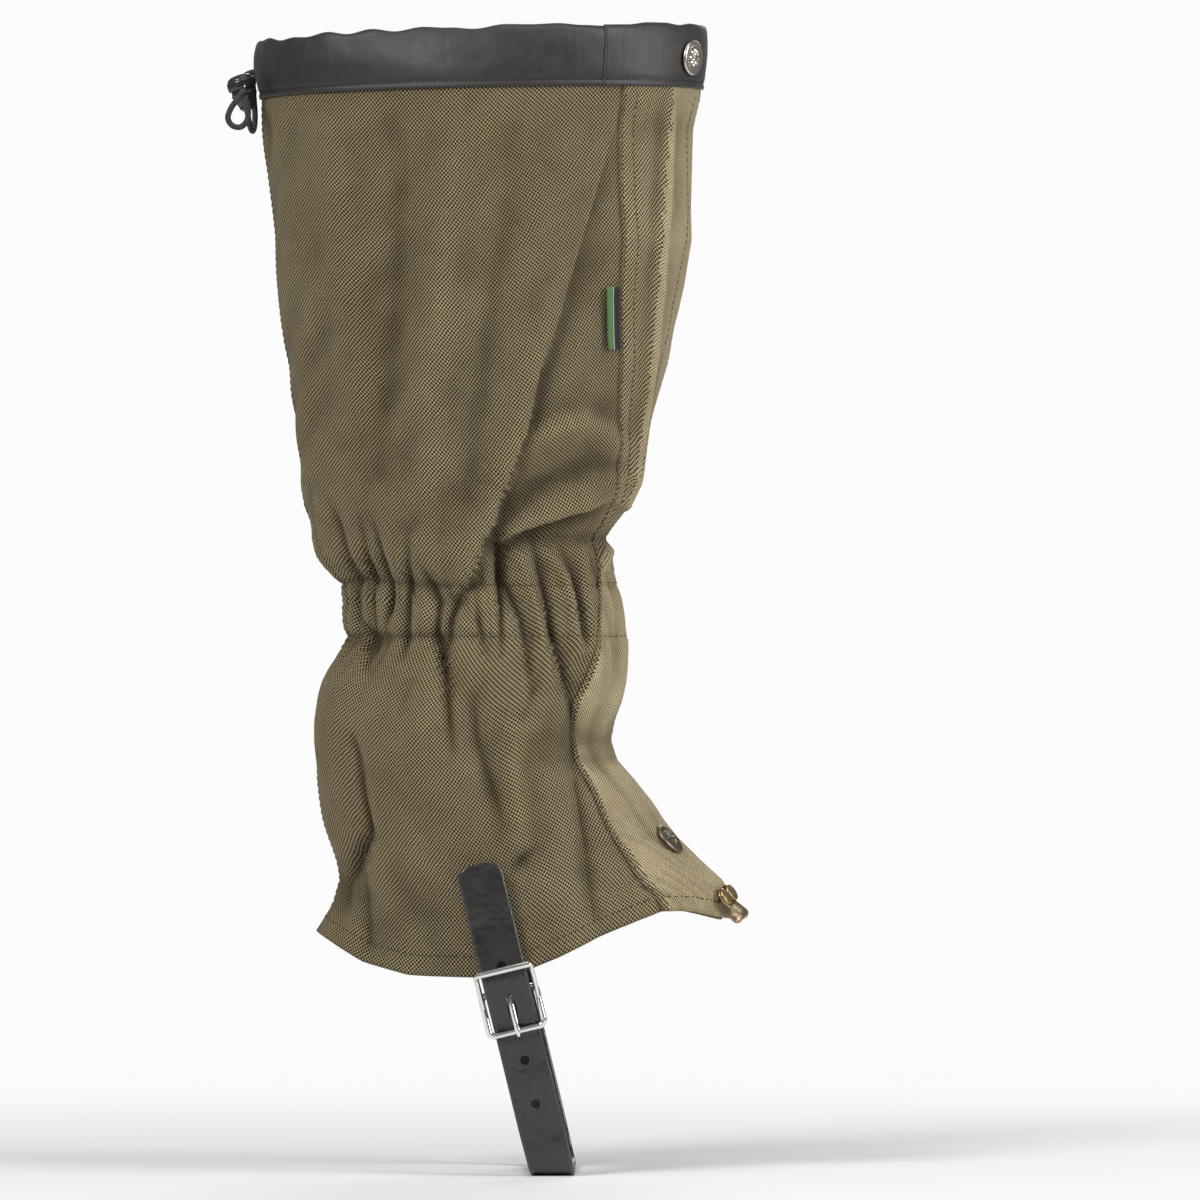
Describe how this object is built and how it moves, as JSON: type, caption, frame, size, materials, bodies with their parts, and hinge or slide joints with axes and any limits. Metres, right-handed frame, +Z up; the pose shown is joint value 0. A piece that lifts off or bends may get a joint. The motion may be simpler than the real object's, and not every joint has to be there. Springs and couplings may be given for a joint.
{
  "type": "gaiters",
  "caption": "Knee-high trekking gaiter with drawcord top band, gathered ankle, hook-and-loop front flap with snaps, lace hook and buckled instep strap.",
  "frame": {"origin": "middle of the instep strap's upper face, where the shoe's sole rests; the leg inside holds the gaiter up", "axes": "+X to the toes, +Y to the inner side of the leg (the buckle is on -Y), +Z up the leg; a right-leg gaiter"},
  "size_m": [0.2289, 0.1342, 0.5034],
  "materials": {
    "shell_cloth": "olive-brown two-tone woven polyester, matt",
    "band_cloth": "dark grey nylon, satin",
    "hook_loop_tape": "hook-and-loop tape",
    "elastic": "ribbed elastic",
    "label": "woven tab",
    "cord": "braided black cord",
    "lock_plastic": "black acetal",
    "snap_metal": "antique nickel",
    "brass": "aged brass",
    "steel": "nickel plated",
    "buckle_metal": "polished nickel",
    "strap_leather": "coated webbing with fine grain"
  },
  "bodies": {
    "root": {"outer_side_panel": "shell_cloth", "inner_side_panel": "shell_cloth", "front_panel": "shell_cloth", "top_band": "band_cloth", "drawcord_outer_run": "cord", "drawcord_inner_run": "cord", "ankle_elastic": "elastic", "hem_facing_outer": "shell_cloth", "hem_facing_inner": "shell_cloth", "back_seam_tape": "hook_loop_tape", "side_label": "label", "loop_tape_upper": "hook_loop_tape", "loop_tape_lower": "hook_loop_tape", "snap_top_stud": "snap_metal", "snap_low_stud": "snap_metal", "tab_rivet": "steel", "tab_rivet_head": "steel", "strap_rivet": "steel", "strap_rivet_shank": "steel", "drawcord_bight": "cord"},
    "flap_upper": {"front_flap_upper": "shell_cloth", "flap_band": "band_cloth", "hook_tape_upper": "hook_loop_tape", "snap_top_cap": "snap_metal", "snap_top_socket": "snap_metal"},
    "flap_lower": {"front_flap_lower": "shell_cloth", "hook_tape_lower": "hook_loop_tape", "snap_low_cap": "snap_metal", "snap_low_socket": "snap_metal", "lace_hook": "brass", "lace_hook_rivet_a": "brass", "lace_hook_rivet_b": "brass", "lace_hook_washer_a": "brass", "lace_hook_washer_b": "brass"},
    "cord_lock": {"cord_lock_body": "lock_plastic", "cord_lock_spring": "steel"},
    "cord_lock_button": {"cord_lock_button": "lock_plastic"},
    "stirrup": {"instep_strap": "strap_leather", "buckle_tab": "strap_leather", "buckle_frame": "buckle_metal"},
    "strap_tip": {"strap_free_end": "strap_leather"},
    "prong": {"buckle_prong": "buckle_metal"}
  },
  "joints": [
    {"name": "flap_upper_open", "type": "hinge", "parent": "root", "child": "flap_upper", "pos_m": [0.03927, -0.00839, 0.27622], "axis": [-0.0501, 0.2387, -0.9698], "range_deg": [0, 60]},
    {"name": "flap_lower_open", "type": "hinge", "parent": "root", "child": "flap_lower", "pos_m": [0.03276, -0.00393, 0.19181], "axis": [0.3086, -0.4203, -0.8533], "range_deg": [0, 55]},
    {"name": "cord_lock_slide", "type": "slide", "parent": "root", "child": "cord_lock", "axis": [0, 1, 0], "range_m": [-0.0025, 0.002]},
    {"name": "cord_lock_press", "type": "slide", "parent": "cord_lock", "child": "cord_lock_button", "axis": [0.309, 0, -0.9511], "range_m": [0, 0.002], "stiffness_N_per_m": 400, "springref_m": -0.001, "deforming": ["cord_lock_spring"]},
    {"name": "stirrup_swing", "type": "hinge", "parent": "root", "child": "stirrup", "pos_m": [-0.0254, 0, 0.10497], "axis": [0, 1, 0], "range_deg": [-15, 15]},
    {"name": "strap_tip_lift", "type": "hinge", "parent": "stirrup", "child": "strap_tip", "pos_m": [-0.02246, -0.05735, 0.09282], "axis": [0.972, 0, 0.2351], "range_deg": [0, 40]},
    {"name": "prong_lift", "type": "hinge", "parent": "stirrup", "child": "prong", "pos_m": [-0.01905, -0.0503, 0.07873], "axis": [-0.972, 0, -0.2351], "range_deg": [0, 7]}
  ]
}
